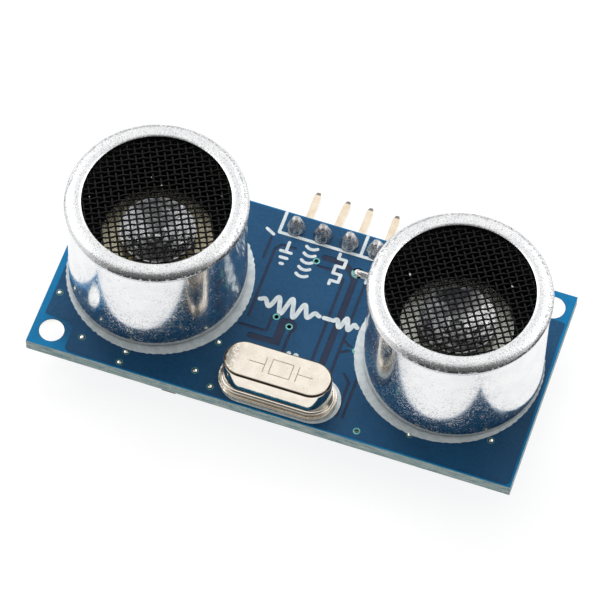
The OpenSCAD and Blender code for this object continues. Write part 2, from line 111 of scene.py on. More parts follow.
def islands(node):
    """Lowest and highest corner of each separate solid of a CAD node, in millimetres."""
    mesh = NODES[node].data
    work = bmesh.new()
    work.from_mesh(mesh)
    bmesh.ops.remove_doubles(work, verts=work.verts, dist=1e-7)
    found = []
    left = set(work.verts)
    while left:
        group = [left.pop()]
        for vertex in group:
            for edge in vertex.link_edges:
                other = edge.other_vert(vertex)
                if other in left:
                    left.remove(other)
                    group.append(other)
        spots = [v.co / MM for v in group]
        found.append([[pick(c[i] for c in spots) for i in range(3)] for pick in (min, max)])
    work.free()
    return sorted(found)


# ---- Shapes: a shape is (points, faces) ----

def joined(shapes):
    points = []
    faces = []
    for shape_points, shape_faces in shapes:
        start = len(points)
        points.extend(shape_points)
        faces.extend([tuple(i + start for i in face) for face in shape_faces])
    return points, faces


def moved(shape, x, y, z=0.0):
    points, faces = shape
    return [(px + x, py + y, pz + z) for px, py, pz in points], faces


def turned(shape, degrees):
    c = cos(radians(degrees))
    s = sin(radians(degrees))
    points, faces = shape
    return [(px * c - py * s, px * s + py * c, pz) for px, py, pz in points], faces


def lifted(profile, level):
    """A profile [(r, z)] whose z is given above a level."""
    return [(r, level + z) for r, z in profile]


def arc(cx, cy, r, start, end, steps):
    turns = [radians(start + (end - start) * i / steps) for i in range(steps + 1)]
    return [(cx + r * cos(t), cy + r * sin(t)) for t in turns]


def circle(cx, cy, r, steps=24):
    return arc(cx, cy, r, 0, 360, steps)[:-1]


def rectangle(x0, y0, x1, y1):
    return [(x0, y0), (x1, y0), (x1, y1), (x0, y1)]


def rounded(x0, y0, x1, y1, r, steps):
    return (arc(x0 + r, y0 + r, r, 180, 270, steps) + arc(x1 - r, y0 + r, r, 270, 360, steps)
            + arc(x1 - r, y1 - r, r, 0, 90, steps) + arc(x0 + r, y1 - r, r, 90, 180, steps))


def stroke(points, width):
    """Outlines that together cover a line drawn with a round pen."""
    outlines = [circle(x, y, width / 2, 14) for x, y in points]
    for (x0, y0), (x1, y1) in zip(points, points[1:]):
        length = hypot(x1 - x0, y1 - y0)
        nx = -(y1 - y0) / length * width / 2
        ny = (x1 - x0) / length * width / 2
        outlines.append([(x0 - nx, y0 - ny), (x1 - nx, y1 - ny), (x1 + nx, y1 + ny), (x0 + nx, y0 + ny)])
    return outlines


def strokes(lines, width):
    return [outline for line in lines for outline in stroke(line, width)]


def region(add, remove, z0, z1):
    """A closed flat solid: the union of the outlines in add, without those in remove."""
    corners = []
    faces = []
    for outline in add + remove:
        faces.append(list(range(len(corners), len(corners) + len(outline))))
        corners.extend(Vector(p) for p in outline)
    flat, _, triangles, _, _, sources = geometry.delaunay_2d_cdt(corners, [], faces, 1, 1e-5)
    kept = []
    for triangle, source in zip(triangles, sources):
        if any(i < len(add) for i in source) and not any(i >= len(add) for i in source):
            kept.append(triangle)
    points = [(p.x, p.y, z1) for p in flat] + [(p.x, p.y, z0) for p in flat]
    n = len(flat)
    edges = {(t[i], t[i - 2]) for t in kept for i in range(3)}
    walls = [(b, a, a + n, b + n) for a, b in edges if (b, a) not in edges]
    bottoms = [tuple(i + n for i in reversed(t)) for t in kept]
    return points, [tuple(t) for t in kept] + bottoms + walls


def ripple(waves, turn):
    """Height at an angle of sine waves [(count, size, phase)] round a circle."""
    return sum(size * sin(count * turn + phase) for count, size, phase in waves)


def band(n, a, b):
    """Faces between two rings of n points each, which start at points a and b."""
    return [(a + j, b + j, b + (j + 1) % n, a + (j + 1) % n) for j in range(n)]


def closed_tube(rings, n):
    """Faces of a tube whose last ring joins its first."""
    return [face for i in range(rings) for face in band(n, i * n, (i + 1) % rings * n)]


def capped_tube(rings, n):
    """Faces of a tube with a face over each end."""
    last = (rings - 1) * n
    walls = [face for i in range(rings - 1) for face in band(n, i * n, (i + 1) * n)]
    return walls + [tuple(reversed(range(n))), tuple(range(last, last + n))]


def lathe(profile, steps, r_of=None):
    """A closed profile [(r, z)] turned about the z axis. r_of(r, z, turn) may vary its radius."""
    points = []
    for i in range(steps):
        turn = 2 * pi * i / steps
        for r, z in profile:
            reach = r_of(r, z, turn) if r_of else r
            points.append((reach * cos(turn), reach * sin(turn), z))
    return points, closed_tube(steps, len(profile))


def stadium(profile, straight, steps=24):
    """A closed profile [(distance from spine, z)] swept round a straight spine along x."""
    spine = []
    for side in (1, -1):
        for i in range(steps + 1):
            turn = radians(-90 + 180 * i / steps) + (0 if side == 1 else pi)
            spine.append((side * straight / 2, cos(turn), sin(turn)))
    points = [(x + r * cx, r * cy, z) for x, cx, cy in spine for r, z in profile]
    return points, closed_tube(len(spine), len(profile))


def rod(path, radius, sides):
    """A closed round bar along the path, which is never upright."""
    path = [Vector(p) for p in path]
    points = []
    for i, p in enumerate(path):
        ahead = path[min(i + 1, len(path) - 1)] - path[max(i - 1, 0)]
        side = ahead.cross(Vector((0, 0, 1))).normalized()
        over = side.cross(ahead).normalized()
        for k in range(sides):
            turn = 2 * pi * k / sides
            points.append(tuple(p + radius * (cos(turn) * side + sin(turn) * over)))
    return points, capped_tube(len(path), sides)


def placed(name, data):
    """A new object in the scene."""
    item = bpy.data.objects.new(name, data)
    bpy.context.scene.collection.objects.link(item)
    return item


def build(name, shape, material, replaces=(), sharp=35):
    """Makes a piece of the shape, rides it on the body and gives it its material."""
    points, faces = shape
    mesh = bpy.data.meshes.new(name)
    mesh.from_pydata([Vector(p) * MM for p in points], [], faces)
    work = bmesh.new()
    work.from_mesh(mesh)
    bmesh.ops.remove_doubles(work, verts=work.verts, dist=WELD * MM)
    bmesh.ops.dissolve_degenerate(work, edges=work.edges, dist=WELD * MM / 4)
    loose = [v for v in work.verts if not v.link_faces]
    bmesh.ops.delete(work, geom=loose, context="VERTS")
    bmesh.ops.recalc_face_normals(work, faces=work.faces)
    work.to_mesh(mesh)
    work.free()
    mesh.shade_smooth()
    mesh.set_sharp_from_angle(angle=radians(sharp))
    mesh.materials.append(material)
    piece = placed(name, mesh)
    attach(piece, "root")
    if replaces:
        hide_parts(*replaces)


def build_flat(name, add, remove, levels, material):
    """Makes a flat piece of the outlines in add, without those in remove, between two levels."""
    build(name, region(add, remove, *levels), material, sharp=20)


def dress(material, *nodes):
    """Gives CAD nodes their material."""
    for name in nodes:
        for slot in NODES[name].material_slots:
            slot.material = material


# ---- Materials ----

def tone(r, g, b):
    """Linear colour of an sRGB tone given as 0 to 255."""
    def linear(c):
        c = c / 255
        return c / 12.92 if c <= 0.04045 else ((c + 0.055) / 1.055) ** 2.4
    return (linear(r), linear(g), linear(b))


class Nodes:
    """Short calls for the nodes of one tree."""

    def __init__(self, tree):
        self.tree = tree

    def add(self, kind, values=None, **settings):
        item = self.tree.nodes.new("ShaderNode" + kind)
        for key, value in settings.items():
            setattr(item, key, value)
        for socket, value in (values or {}).items():
            if isinstance(value, bpy.types.NodeSocket):
                self.tree.links.new(value, item.inputs[socket])
            else:
                item.inputs[socket].default_value = value
        return item

    def math(self, operation, a, b=0.0, c=0.0):
        return self.add("Math", {0: a, 1: b, 2: c}, operation=operation).outputs[0]

    def times(self, a, b):
        return self.math("MULTIPLY", a, b)

    def plus(self, base, a, b):
        """base + a * b."""
        return self.math("MULTIPLY_ADD", a, b, base)

    def vector(self, operation, a, b=(0, 0, 0), output="Vector"):
        return self.add("VectorMath", {0: a, 1: b}, operation=operation).outputs[output]

    def part(self, vector, letter):
        return self.add("SeparateXYZ", {"Vector": vector}).outputs[letter]

    def step(self, value, low, high, out_low=0.0, out_high=1.0):
        values = {0: value, 1: low, 2: high, 3: out_low, 4: out_high}
        return self.add("MapRange", values, interpolation_type="SMOOTHSTEP").outputs[0]

    def mix(self, factor, a, b):
        """Colour a where the factor is 0 and b where it is 1."""
        values = {0: factor}
        for socket, colour in ((6, a), (7, b)):
            values[socket] = colour if isinstance(colour, bpy.types.NodeSocket) else (*colour, 1)
        return self.add("Mix", values, data_type="RGBA").outputs[2]


class Finish(Nodes):
    """A Principled material and what drives it, with places in millimetres."""

    def __init__(self, name, **values):
        self.material = bpy.data.materials.new(name)
        self.material.use_nodes = True
        super().__init__(self.material.node_tree)
        self.bsdf = self.tree.nodes["Principled BSDF"]
        for socket, value in values.items():
            self.bsdf.inputs[socket.replace("_", " ")].default_value = value
        self.place = self.scaled((1, 1, 1))

    def scaled(self, stretch):
        """Position in millimetres, times stretch along each axis."""
        where = self.add("TexCoord").outputs["Object"]
        scale = [s / MM for s in stretch]
        return self.add("Mapping", {"Vector": where, "Scale": scale}).outputs["Vector"]

    def axis(self, letter):
        return self.part(self.place, letter)

    def normal(self):
        return self.add("NewGeometry").outputs["Normal"]

    def rise(self):
        """1 where the surface faces straight up, below 0 where it faces down."""
        return self.part(self.normal(), "Z")

    def upward(self):
        """1 where the surface faces up or down, 0 where it stands upright."""
        return self.math("ABSOLUTE", self.rise())

    def mirrored(self):
        """Position with both coordinates made positive, which lays the two transducers over each other."""
        return self.vector("ABSOLUTE", self.place)

    def along(self, vector, heading):
        """Length of the vector towards a heading, in degrees from +x."""
        way = (cos(radians(heading)), sin(radians(heading)), 0)
        return self.vector("DOT_PRODUCT", vector, way, "Value")

    def reach(self, place, x, y):
        """Level distance from the upright line through x, y."""
        level = self.vector("MULTIPLY", self.vector("SUBTRACT", place, (x, y, 0)), (1, 1, 0))
        return self.vector("LENGTH", level, output="Value")

    def noise(self, per_mm, detail, stretch=None, roughness=0.5):
        place = self.scaled(stretch) if stretch else self.place
        values = {"Vector": place, "Scale": per_mm, "Detail": detail, "Roughness": roughness}
        return self.add("TexNoise", values).outputs["Fac"]

    def cloud(self, per_mm, detail, out_low=0.0, out_high=1.0):
        """Noise spread over the whole range from out_low to out_high."""
        return self.step(self.noise(per_mm, detail), 0.3, 0.7, out_low, out_high)

    def cells(self, per_mm):
        return self.add("TexVoronoi", {"Vector": self.place, "Scale": per_mm}).outputs["Distance"]

    def bump(self, height, depth, normal=None):
        """Bump from a 0 to 1 height, depth in millimetres."""
        values = {"Height": height, "Distance": depth * MM}
        if normal:
            values["Normal"] = normal
        return self.add("Bump", values).outputs["Normal"]

    def drive(self, **sockets):
        for socket, value in sockets.items():
            self.tree.links.new(value, self.bsdf.inputs[socket.replace("_", " ")])
        return self.material

    def paint(self, share, colour):
        """Lays another colour over the colour so far, fully where the share is 1."""
        self.colour = self.mix(share, self.colour, colour)

    def surface(self, rough, normal):
        return self.drive(Base_Color=self.colour, Roughness=rough, Normal=normal)


def mask_finish(name, light, dark, specular, inner=None):
    """Glossy solder mask: a slow change of tone, a faint glass weave below and dust. With inner, the colour
    fades to it away from the board's edges: painted light, brighter where light enters the laminate."""
    f = Finish(name, IOR=1.5, Coat_Weight=0.0, Specular_IOR_Level=specular)
    f.colour = f.mix(f.cloud(0.35, 3), dark, light)
    if inner:
        # Painted light: brighter along the board's edges, fading to inner away from them
        inward = f.vector("SUBTRACT", tuple(BOARD_HIGH), f.mirrored())
        near = f.math("MINIMUM", f.part(inward, "X"), f.part(inward, "Y"))
        f.paint(f.step(near, 0.3, 2.3), inner)
    dust = f.step(f.cells(1.1), 0.035, 0.02)
    f.paint(f.times(dust, 0.35), tone(150, 175, 190))
    weave = f.times(f.noise(1.0, 1, (6, 0.8, 1)), f.noise(1.0, 1, (0.8, 6, 1)))
    normal = f.bump(weave, 0.004)
    normal = f.bump(f.noise(12, 2), 0.0012, normal)
    rough = f.cloud(2.5, 3, 0.22, 0.34)
    return f.surface(rough, normal)


BLACK = (0, 0, 0)


def board_finish():
    """The laminate: mask over its two faces, sawn glass layers on its edges, and the walls of the mounting
    holes painted near white with a painted glow: painted light in the bores."""
    f = Finish("laminate", IOR=1.5, Specular_IOR_Level=0.12, Emission_Strength=1.0)
    face = f.step(f.upward(), 0.6, 0.8)
    covered = f.mix(f.cloud(0.5, 3), (0.024, 0.036, 0.074), (0.032, 0.046, 0.088))
    layers = f.noise(1.0, 3, (0.7, 0.7, 9))
    fibres = f.noise(1.0, 4, (5, 5, 2.5), 0.7)
    edge = f.mix(f.step(layers, 0.35, 0.65), tone(108, 140, 148), tone(178, 190, 184))
    edge = f.mix(f.step(fibres, 0.52, 0.7, 0.0, 0.7), edge, tone(190, 194, 178))
    edge = f.mix(f.step(fibres, 0.42, 0.3, 0.0, 0.6), edge, tone(70, 100, 114))
    through = BLACK
    # Painted light: each mounting hole's wall is painted near white and glows unevenly
    for x, y in MOUNT_HOLES:
        bored = f.step(f.reach(f.place, x, y), MOUNT_HOLE_R + 0.175, MOUNT_HOLE_R + 0.075)
        edge = f.mix(bored, edge, tone(244, 244, 240))
        painted_glow_share = f.times(bored, f.step(f.noise(2.0, 3), 0.2, 0.8, 0.5, 0.7))
        through = f.mix(painted_glow_share, through, (0.44, 0.44, 0.44))
    f.colour = f.mix(face, edge, covered)
    rough = f.step(face, 0, 1, 0.75, 0.3)
    height = f.times(f.math("SUBTRACT", 1.0, face), fibres)
    through = f.mix(face, through, BLACK)
    # The painted glow shows only on the bored walls
    f.drive(Emission_Color=through)
    return f.surface(rough, f.bump(height, 0.06))


def print_finish():
    """White screen print: a little blue shows through, with pinholes."""
    f = Finish("screen_print", IOR=1.45)
    f.colour = f.mix(f.cloud(1.6, 4), tone(208, 220, 224), tone(232, 240, 242))
    holes = f.step(f.noise(7, 2), 0.68, 0.74)
    f.paint(f.times(holes, 0.5), tone(90, 120, 135))
    rough = f.cloud(5, 2, 0.45, 0.65)
    return f.surface(rough, f.bump(f.noise(9, 3), 0.006))


# The walls' reflections lean as if each wall were dished near the board, less and less upwards
DISH_DEPTH = 1.2
DISH_FADE = 5.63
# Each rim carries painted shade towards this heading, in degrees from +x
RIM_SHADE_HEADING = 305


def can_finish(name):
    """Drawn aluminium: a sandy front, a pitted rim with painted shade on one side and a painted dark line
    near its outer bend, a bright and finely pitted wall, and painted shade at the foot."""
    f = Finish(name, Metallic=1.0)
    front = f.step(f.upward(), 0.15, 0.6)
    reach = f.reach(f.mirrored(), CANS["transmitter"].x, CANS["transmitter"].y)
    roll = f.step(f.axis("Z"), CAN_Z + 10.7, CAN_Z + 11.0)
    bend = f.times(f.step(reach, CAN_R - 0.6, CAN_R - 0.1), roll)
    f.colour = f.mix(f.cloud(0.5, 3), (0.82, 0.83, 0.84), (0.88, 0.88, 0.885))
    grains = f.noise(6.5, 3, roughness=0.65)
    worn = f.plus(f.times(front, 0.38), bend, 0.52)
    f.paint(f.times(f.step(grains, 0.54, 0.64), worn), (0.08, 0.08, 0.09))
    # Painted shade: a flecked dark streak on the side of the rim's bend that faces the heading
    painted_rim_shade = f.times(f.step(f.rise(), 0.8, 0.46), f.step(f.rise(), 0.06, 0.28))
    painted_rim_shade = f.times(painted_rim_shade, f.step(f.axis("Z"), CAN_Z + 10.6, CAN_Z + 10.72))
    painted_rim_shade = f.times(painted_rim_shade, f.step(f.along(f.normal(), RIM_SHADE_HEADING), 0.25, 0.7, 0.25, 1.0))
    flecked = f.step(f.noise(4.0, 4, roughness=0.7), 0.38, 0.5, 0.45, 1.0)
    f.paint(f.times(painted_rim_shade, flecked), (0.05, 0.05, 0.06))
    # Painted shade: a broken dark line on the rim near its outer bend
    line = f.times(f.times(f.step(reach, 7.56, 7.7), f.step(reach, 7.88, 7.76)), roll)
    line = f.times(line, f.step(f.noise(3.5, 4, roughness=0.7), 0.42, 0.56))
    f.paint(f.times(line, 0.52), (0.07, 0.075, 0.095))
    # Painted shade: the wall darkens towards the board at its foot
    foot = f.step(f.axis("Z"), CAN_Z + 1.2, CAN_Z + 0.3, 0.0, 0.25)
    f.paint(foot, (0.05, 0.07, 0.1))
    rough = f.step(f.noise(1.2, 4), 0.3, 0.75, 0.1, 0.15)
    rough = f.plus(rough, f.step(f.noise(1.0, 4, (3.0, 3.0, 0.7), 0.65), 0.64, 0.74), 0.08)
    rough = f.plus(rough, front, 0.08)
    patches = f.step(f.noise(0.8, 3), 0.35, 0.62, 0.35, 1.0)
    pits = f.times(f.step(f.noise(5.8, 3), 0.55, 0.63), f.math("MAXIMUM", bend, f.times(patches, 0.75)))
    rough = f.plus(rough, pits, 0.2)
    dished = f.math("EXPONENT", f.plus(CAN_Z / DISH_FADE, f.axis("Z"), -1 / DISH_FADE))
    normal = f.bump(f.noise(2.2, 2), 0.003, f.bump(dished, DISH_DEPTH))
    normal = f.bump(pits, 0.0068, normal)
    return f.surface(rough, f.bump(f.times(grains, f.plus(front, bend, 1.5)), 0.02, normal))


def metal_finish(name, light, dark, rough_low, rough_high, per_mm=3.0, depth=0.002):
    """Plain bare or plated metal with slow stains, uneven gloss and fine marks."""
    f = Finish(name, Metallic=1.0)
    f.colour = f.mix(f.step(f.noise(per_mm / 3, 4), 0.35, 0.65), dark, light)
    rough = f.cloud(per_mm, 3, rough_low, rough_high)
    return f.surface(rough, f.bump(f.noise(per_mm * 2, 3), depth))


def plastic_finish(name, light, dark, rough_low, rough_high, per_mm=6.0, depth=0.004):
    """Moulded, painted or fired material: slow change of tone and a fine surface grain."""
    f = Finish(name, IOR=1.5)
    f.colour = f.mix(f.cloud(per_mm / 5, 4), dark, light)
    rough = f.cloud(per_mm / 2, 3, rough_low, rough_high)
    return f.surface(rough, f.bump(f.noise(per_mm, 3), depth))


def mesh_finish(name, dust):
    """Blackened wire with specks of pale dust, which are bigger for a bigger dust."""
    f = Finish(name, IOR=1.5, Specular_IOR_Level=0.22)
    f.colour = f.mix(f.cloud(2.4, 4), tone(8, 8, 9), tone(17, 17, 18))
    specks = f.step(f.cells(0.62), dust, dust * 0.7)
    f.paint(specks, tone(205, 205, 200))
    rough = f.cloud(6.0, 3, 0.45, 0.6)
    return f.surface(rough, f.bump(f.noise(12.0, 3), 0.004))


def crystal_finish():
    """Nickel-plated can: warm, bright sides, painted shade on its shoulder and a duller top, mottled at its
    left end.
    """
    f = Finish("crystal_nickel", Metallic=1.0)
    top = f.step(f.upward(), 0.75, 0.95)
    f.colour = f.mix(f.cloud(1.1, 4), (0.88, 0.8, 0.69), (0.97, 0.9, 0.79))
    end = f.step(f.axis("X"), -3.1, -4.6)
    mottle = f.times(f.times(end, top), f.step(f.noise(3.2, 5), 0.4, 0.54))
    f.paint(f.times(mottle, 0.9), (0.3, 0.27, 0.23))
    specks = f.step(f.noise(5.5, 3), 0.67, 0.72)
    f.paint(f.times(specks, f.plus(0.1, top, 0.4)), (0.42, 0.34, 0.25))
    # Painted shade: a dark band round the bend of the shoulder
    edge = f.times(f.step(f.rise(), 0.97, 0.86), f.step(f.rise(), 0.28, 0.5))
    edge = f.times(edge, f.step(f.axis("Z"), CRYSTAL_HIGH.z - 0.32, CRYSTAL_HIGH.z - 0.25, 0.0, 0.95))
    f.paint(edge, (0.1, 0.07, 0.045))
    rough = f.cloud(2.0, 4, 0.045, 0.085)
    rough = f.plus(rough, top, 0.2)
    normal = f.bump(f.noise(4.0, 3), 0.0016)
    normal = f.bump(mottle, 0.01, normal)
    return f.surface(rough, normal)


def pin_finish():
    """Flash-gilt brass pins, with bare grey metal where their tips were cut."""
    f = Finish("gilt_pin", Metallic=1.0)
    f.colour = f.mix(f.cloud(1.5, 4), (0.86, 0.72, 0.54), (0.94, 0.83, 0.68))
    tip = f.step(f.axis("Y"), PIN_HIGH.y - 0.42, PIN_HIGH.y - 0.3)
    stub = f.step(f.axis("Z"), TOP + 0.9, TOP + 1.3)
    f.paint(stub, (0.8, 0.76, 0.7))
    f.paint(f.times(tip, 0.85), (0.16, 0.15, 0.14))
    rough = f.plus(f.cloud(4, 3, 0.18, 0.3), tip, 0.2)
    normal = f.bump(f.noise(1.0, 3, (14, 1.5, 14)), 0.003)
    return f.surface(rough, normal)


def cone_finish(name, side, heading, low, high, bright, dull):
    """Spun aluminium foil cone: faint rings, dents and a painted glint on the hub. Its colour is a painted
    reflection, bright towards one heading, in degrees from +x, and dull away from it. The change lies
    between low and high millimetres that way."""
    f = Finish(name, Metallic=1.0)
    x = CANS[side].x
    y = CANS[side].y
    away = f.vector("SUBTRACT", f.place, (x, y, 0))
    # Painted reflection: bright towards the heading, dull away from it
    f.colour = f.mix(f.step(f.along(away, heading), low, high), dull, bright)
    f.paint(f.cloud(1.2, 4, 0.0, 0.3), (0.99, 0.99, 0.98))
    # Painted highlight: a bright glint on the hub
    hub = f.step(f.reach(f.place, x, y), 0.5, 0.35)
    f.paint(hub, (0.99, 0.99, 0.99))
    rough = f.cloud(3, 3, 0.2, 0.34)
    dents = f.bump(f.times(f.noise(0.75, 2), f.step(hub, 1.0, 0.0)), 0.24)
    rings = f.bump(f.noise(1, 2, (2, 2, 14)), 0.01, dents)
    return f.surface(rough, rings)


def ring_finish():
    """Coated copper rings of the vias: painted shade in the bore and in a ring round each solder plug, and
    nearly covered where solder fills it.
    """
    f = Finish("coated_ring", IOR=1.5, Specular_IOR_Level=0.3)
    f.colour = f.mix(f.cloud(1.2, 4), tone(96, 176, 172), tone(132, 208, 202))
    for x, y in FILLED_VIAS:
        away = f.reach(f.place, x, y)
        f.paint(f.step(away, 0.5, 0.4, 0.0, 0.5), tone(30, 84, 112))
        # Painted shade: a dark ring round the solder plug, in its recess
        f.paint(f.step(away, 0.28, 0.25, 0.0, 0.9), tone(8, 22, 34))
    # Painted shade on the walls of the bores
    painted_bore_shade = f.times(f.step(f.axis("Z"), BACK, BACK + 0.03), f.step(f.axis("Z"), TOP, TOP - 0.03))
    f.paint(painted_bore_shade, tone(9, 22, 28))
    rough = f.cloud(3.0, 3, 0.25, 0.4)
    return f.surface(rough, f.bump(f.noise(6.0, 3), 0.003))


def quartz_finish():
    f = Finish("quartz", Roughness=0.08, IOR=1.54)
    f.colour = f.mix(f.cloud(2, 3), tone(196, 205, 210), tone(226, 232, 235))
    return f.drive(Base_Color=f.colour, Normal=f.bump(f.noise(8, 2), 0.002))


laminate = board_finish()
mask_pour = mask_finish("mask_on_copper", (0.012, 0.084, 0.192), (0.009, 0.07, 0.164), 0.16)
mask_trace = mask_finish("mask_on_trace", (0.014, 0.112, 0.228), (0.011, 0.09, 0.19), 0.16)
mask_clear = mask_finish("mask_on_bare_laminate", (0.004, 0.22, 0.48), (0.003, 0.175, 0.4), 0.12,
                         (0.01, 0.105, 0.235))
screen_print = print_finish()
can_metal = can_finish("drawn_aluminium")
teal_copper = ring_finish()
solder = metal_finish("solder", (0.7, 0.7, 0.7), (0.34, 0.34, 0.35), 0.22, 0.36, 4.0, 0.012)
wire_tin = metal_finish("wire_tin", (0.95, 0.92, 0.87), (0.8, 0.76, 0.7), 0.3, 0.42, 4.0, 0.01)
via_tin = metal_finish("via_tin", (0.99, 0.96, 0.9), (0.9, 0.85, 0.76), 0.18, 0.3, 5.0, 0.001)
lumpy_tin = metal_finish("lumpy_tin", (0.97, 0.95, 0.92), (0.78, 0.75, 0.71), 0.16, 0.26, 3.0, 0.05)
tinned = metal_finish("tinned_metal", (0.76, 0.73, 0.68), (0.6, 0.56, 0.5), 0.16, 0.3, 4.0, 0.006)
mesh_black = mesh_finish("blackened_wire", 0.045)
mesh_dusty = mesh_finish("dusty_wire", 0.095)
black_plastic = plastic_finish("black_moulding", tone(24, 24, 25), tone(15, 15, 16), 0.45, 0.65, 5.0, 0.01)
silicone = plastic_finish("silicone", tone(222, 222, 216), tone(200, 200, 194), 0.4, 0.55)
ceramic = plastic_finish("piezo_ceramic", tone(206, 200, 176), tone(182, 176, 152), 0.5, 0.7)
# Lit and shaded copies of the bender plate: the receiver's is painted darker and warmer as shade, the
# transmitter's paler as light
plate_shaded_olive = metal_finish("plate_shaded_olive", (0.9, 0.83, 0.62), (0.76, 0.69, 0.48), 0.18, 0.3)
plate_lit_pale = metal_finish("plate_lit_pale", (0.88, 0.89, 0.81), (0.74, 0.75, 0.67), 0.18, 0.3)
# The two cones carry different painted reflections, one mostly bright, one with a dark side
spun_left = cone_finish("spun_foil_left", "receiver", 267, 0.8, 2.6, (0.99, 0.99, 0.98), (0.56, 0.57, 0.59))
spun_right = cone_finish("spun_foil_right", "transmitter", 332, -1.8, 0.6, (0.95, 0.95, 0.95),
                         (0.11, 0.115, 0.14))
wire_red = plastic_finish("wire_enamel", tone(176, 52, 36), tone(140, 38, 28), 0.25, 0.4)
nickel = crystal_finish()
etched = metal_finish("etched_nickel", (0.5, 0.42, 0.32), (0.34, 0.27, 0.19), 0.3, 0.45)
seal_glass = plastic_finish("seal_glass", tone(58, 84, 84), tone(40, 62, 64), 0.1, 0.2, 4.0, 0.002)
quartz = quartz_finish()
gilt = pin_finish()
epoxy = plastic_finish("chip_epoxy", tone(36, 37, 40), tone(25, 26, 29), 0.5, 0.7, 8.0, 0.012)
film = plastic_finish("resistor_film", tone(30, 30, 34), tone(16, 16, 20), 0.2, 0.35)
dielectric = plastic_finish("capacitor_ceramic", tone(176, 142, 104), tone(146, 112, 78), 0.35, 0.5)


# ---- Board ----

POUR_TOP = TOP + COPPER
PRINT_TOP = POUR_TOP + 0.02
MARGIN_TOP = TOP + 0.012
TRACE_T = 0.03
PRINT_WIDTH = 0.3
WAVE_WIDTH = 0.42
VIAS = OPEN_VIAS + HALF_VIAS + FILLED_VIAS
NEAR_EDGE = BOARD_LOW.y
FAR_EDGE = BOARD_HIGH.y


def mount_holes(grow):
    return [circle(x, y, MOUNT_HOLE_R + grow, 48) for x, y in MOUNT_HOLES]


def via_rings(grow):
    return [circle(x, y, VIA_RING_R + grow) for x, y in VIAS]


def hole_outlines(grow):
    """Everything bored through the board."""
    return mount_holes(grow) + via_rings(grow) + [circle(*WIRE_HOLE, WIRE_HOLE_R + grow)]


def pour_outline():
    """Edge of the copper pour on the front, clear of both mounting holes."""
    far = FAR_EDGE - 0.12
    near = NEAR_EDGE + 0.16
    return (arc(-21.4, far - 0.5, 0.5, 90, 180, 4) + [(-21.9, -7.0), (-19.5, -7.2)]
            + [(-19.0, -7.7)] + arc(-18.5, near + 0.5, 0.5, 180, 270, 4)
            + arc(21.8, near + 0.5, 0.5, 270, 360, 5) + [(22.25, 7.2), (21.9, 7.3), (19.5, 7.25)]
            + [(19.0, 7.8), (18.9, far)])


# Gaps in the pour, and the traces that run in them, each as the line of a round pen
PAD_X = [centre("ground_pin").x + PIN_PITCH * i for i in range(len(PINS))]
THIN_GAP = 0.26
WIDE_GAP = 0.62
TRACE_WIDTH = 0.34
THIN_GAPS = [
    [(-4.72, -1.3), (-4.72, 6.1), (-4.25, 6.72), (-3.0, 6.72)],
    [(-5.42, 4.9), (-5.42, 7.1)],
    [(-2.66, -0.6), (-2.66, -2.12), (-2.85, -2.3), (-5.2, -2.3)],
    [(-0.62, -1.5), (-0.62, -3.8)],
    [(2.12, 5.0), (2.12, -4.6)],
    [(-0.5, 5.66), (1.35, 5.66), (2.12, 4.95)],
    [(4.1, 5.6), (4.1, -4.6)],
    [(4.1, -0.9), (5.1, -1.52)],
    [(4.1, -2.3), (5.1, -1.68)],
    [(5.3, -4.2), (5.95, -4.9), (5.95, -8.4)],
    [(6.5, -4.4), (6.5, -8.4)],
]
WIDE_GAPS = [
    [(3.08, 5.2), (3.08, -4.6)],
    [(-0.2, 6.68), (1.6, 6.68), (2.2, 6.3), (3.0, 5.4)],
    [(-1.6, -0.75), (-1.6, -3.1), (-3.9, -3.15)],
    [(-1.3, -0.9), (-1.3, -3.1)],
    [(-0.9, -1.2), (-0.9, -1.25)],
]
TRACES = [
    [(-2.3, -0.6), (-2.3, -2.35), (-2.62, -2.68), (-5.4, -2.68)],
    [(-0.92, -1.2), (-0.92, -3.45), (-1.4, -3.8)],
    [(-0.8, 6.1), (1.5, 6.1), (2.46, 5.15), (2.46, -4.6)],
    [(3.3, 5.9), (3.66, 5.5), (3.66, -4.6)],
    [(5.4, -1.6), (4.6, -1.6)],
]


def front_copper():
    """Mask-covered pour and traces on the front, and the bare margin round them."""
    outline = pour_outline()
    gaps = strokes(THIN_GAPS, THIN_GAP) + strokes(WIDE_GAPS, WIDE_GAP)
    gaps.append(circle(-1.0, -1.2, 0.78))
    pads = [circle(x, PIN_Y, 0.92) for x in PAD_X]
    holes = hole_outlines(0.02)
    build_flat("front_pour", [outline], gaps + holes, (TOP, POUR_TOP), mask_pour)
    board = rectangle(BOARD_LOW.x, BOARD_LOW.y, BOARD_HIGH.x, BOARD_HIGH.y)
    build_flat("front_margin", [board], [outline] + holes + pads, (TOP, MARGIN_TOP), mask_clear)
    traces = strokes(TRACES, TRACE_WIDTH)
    build_flat("front_traces", traces, hole_outlines(0.01), (TOP, TOP + TRACE_T), mask_trace)


def ragged_ring(x, y, inner, outer, seed):
    """A printed ring whose outer edge is a little uneven."""
    draw = random.Random(seed)
    waves = [(draw.randint(20, 110), draw.uniform(0.004, 0.014), draw.uniform(0, 6.3)) for _ in range(9)]
    edge = []
    for i in range(480):
        turn = 2 * pi * i / 480
        r = outer + ripple(waves, turn)
        edge.append((x + r * cos(turn), y + r * sin(turn)))
    return [edge], [circle(x, y, inner, 120)]


def sine(x0, x1, y, height, cycles, steps):
    """A wave along x that grows and dies away."""
    line = []
    for i in range(steps + 1):
        t = i / steps
        swell = sin(pi * t)
        line.append((x0 + (x1 - x0) * t, y + height * swell * sin(2 * pi * cycles * t)))
    return line


